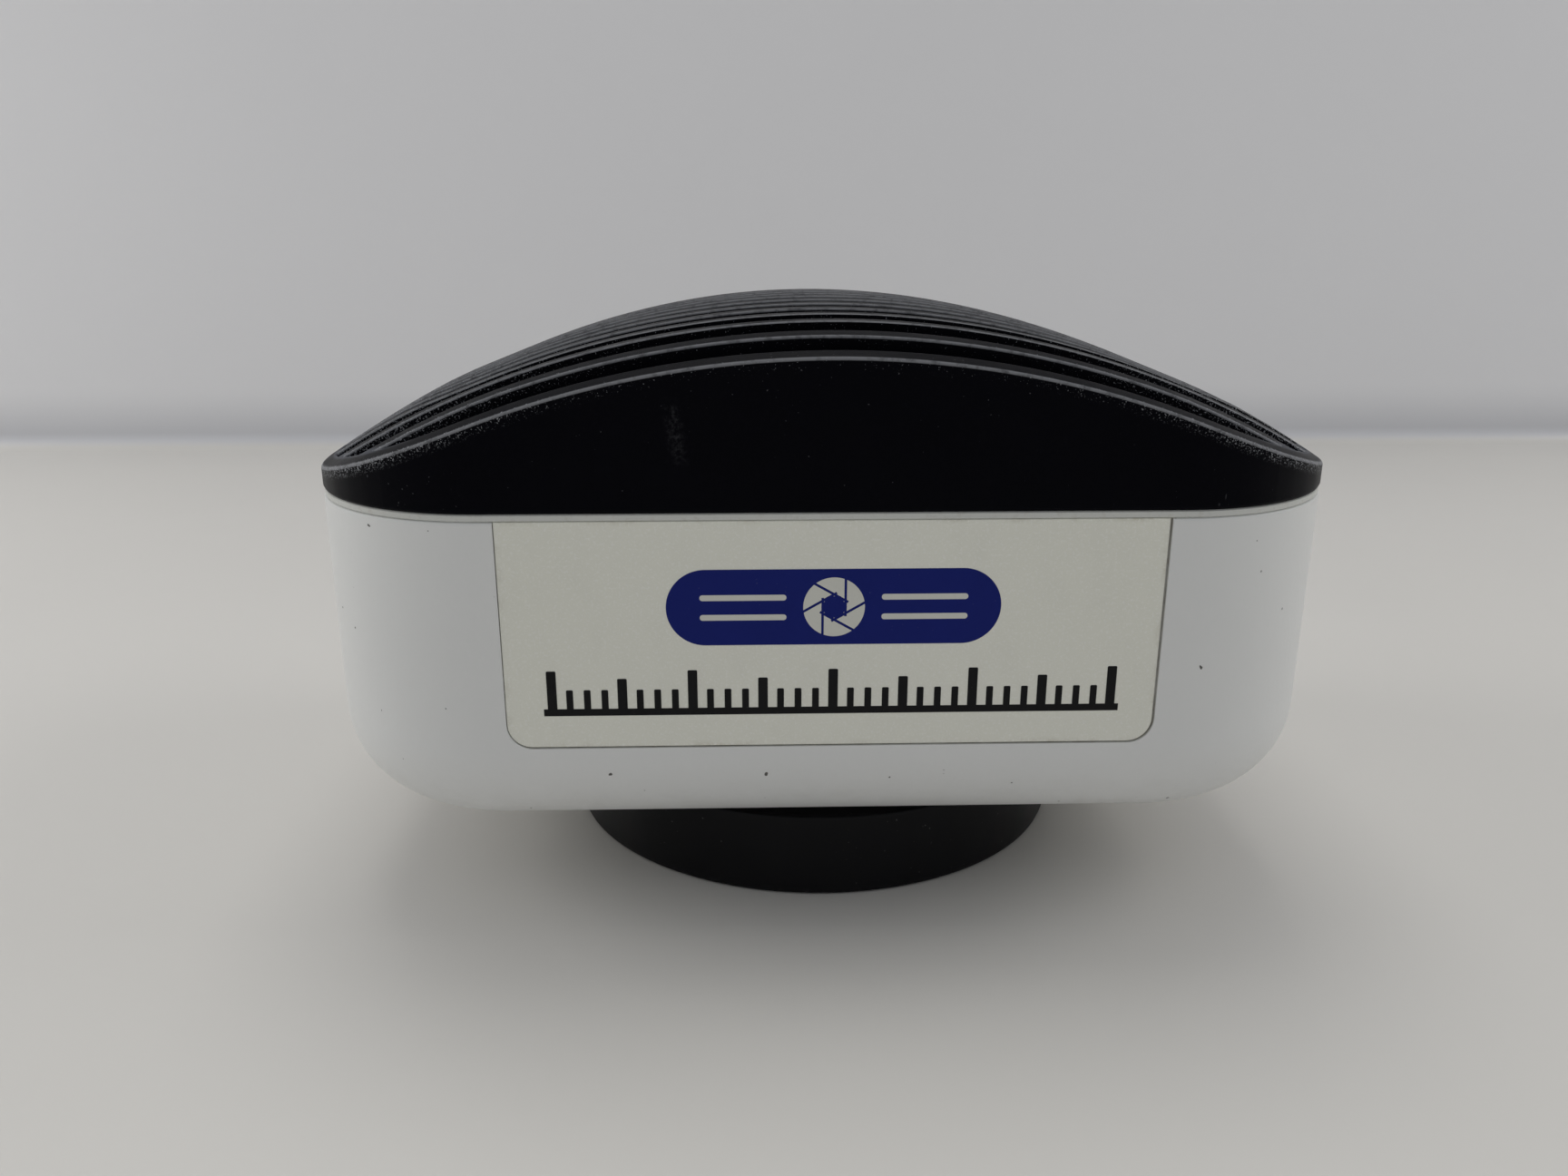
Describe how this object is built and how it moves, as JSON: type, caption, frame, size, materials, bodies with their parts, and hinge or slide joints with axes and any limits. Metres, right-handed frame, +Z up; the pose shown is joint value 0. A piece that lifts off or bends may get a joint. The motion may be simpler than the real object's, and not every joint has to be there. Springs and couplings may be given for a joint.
{
  "type": "digital microscope camera",
  "caption": "Low white camera body under a domed black finned heat sink, standing on a round black lens nosepiece that screws in and out to focus.",
  "frame": {"origin": "centre of the nosepiece's face, where the camera stands on a table", "axes": "+Z up through the sensor to the heat sink (the lens looks down -Z), +X along the fins to the right of the label, -Y out of the label"},
  "size_m": [0.102, 0.072, 0.0604],
  "materials": {
    "white_powder_coat": "fine orange-peel powder coat on cast aluminium",
    "black_anodised": "bead-blasted black anodise",
    "grey_gasket": "matt",
    "cream_overlay": "finely textured overlay film",
    "black_satin": "satin black anodise",
    "black_steel": "black oxide",
    "black_rubber": "matt",
    "filter_glass": "polished",
    "ceramic": "matt ceramic",
    "silicon": "polished",
    "plated_metal": "tin plated",
    "circuit_board": "solder mask",
    "brass": "turned",
    "steel": "satin",
    "copper": "milled copper",
    "black_foam": "closed-cell foam",
    "flex_film": "polyimide film",
    "ivory_plastic": "moulded",
    "chip_plastic": "moulded epoxy",
    "black_plastic": "moulded",
    "gold_contact": "gold plated",
    "light_pipe": "clear moulded"
  },
  "bodies": {
    "housing": {"front_shell": "white_powder_coat", "heat_sink": "black_anodised", "body_gasket": "grey_gasket", "label_plate": "cream_overlay", "window_glass": "filter_glass", "window_retainer": "black_satin", "window_seal": "black_rubber", "ccd_package": "ceramic", "ccd_cover_glass": "filter_glass", "ccd_die": "silicon", "ccd_pins": "plated_metal", "sensor_board": "circuit_board", "sensor_standoffs": "brass", "sensor_board_screws": "steel", "cold_finger": "copper", "cooler_cold_plate": "ceramic", "cooler_pellets": "plated_metal", "cooler_hot_plate": "ceramic", "thermal_pad": "grey_gasket", "insulation_foam": "black_foam", "flex_cable": "flex_film", "sensor_flex_socket": "ivory_plastic", "main_flex_socket": "ivory_plastic", "main_board": "circuit_board", "main_board_standoffs": "brass", "main_board_screws": "steel", "logic_chip": "chip_plastic", "memory_chips": "chip_plastic", "interface_chip": "chip_plastic", "power_coils": "chip_plastic", "capacitors": "plated_metal", "oscillator": "plated_metal", "data_sockets": "plated_metal", "data_socket_tongues": "black_plastic", "trigger_socket": "black_plastic", "trigger_pins": "gold_contact", "status_light": "light_pipe", "status_led": "ivory_plastic", "connector_panel": "black_anodised", "panel_screws": "black_steel", "tripod_insert": "steel", "body_screws": "black_steel"},
    "light_seal": {"nose_light_seal": "black_rubber"},
    "nosepiece": {"nosepiece": "black_satin", "nose_set_screws": "black_steel"}
  },
  "joints": [
    {"name": "nosepiece_travel", "type": "slide", "parent": "housing", "child": "light_seal", "axis": [0, 0, -1], "range_m": [-0.0005, 0.001]},
    {"name": "nosepiece_turn", "type": "hinge", "parent": "light_seal", "child": "nosepiece", "pos_m": [0, 0, 0.0046], "axis": [0, 0, -1], "range_deg": [-225, 450]}
  ],
  "couplings": [
    {"joint": "nosepiece_travel", "follows": "nosepiece_turn", "m_per_rad": 0.00012633}
  ]
}
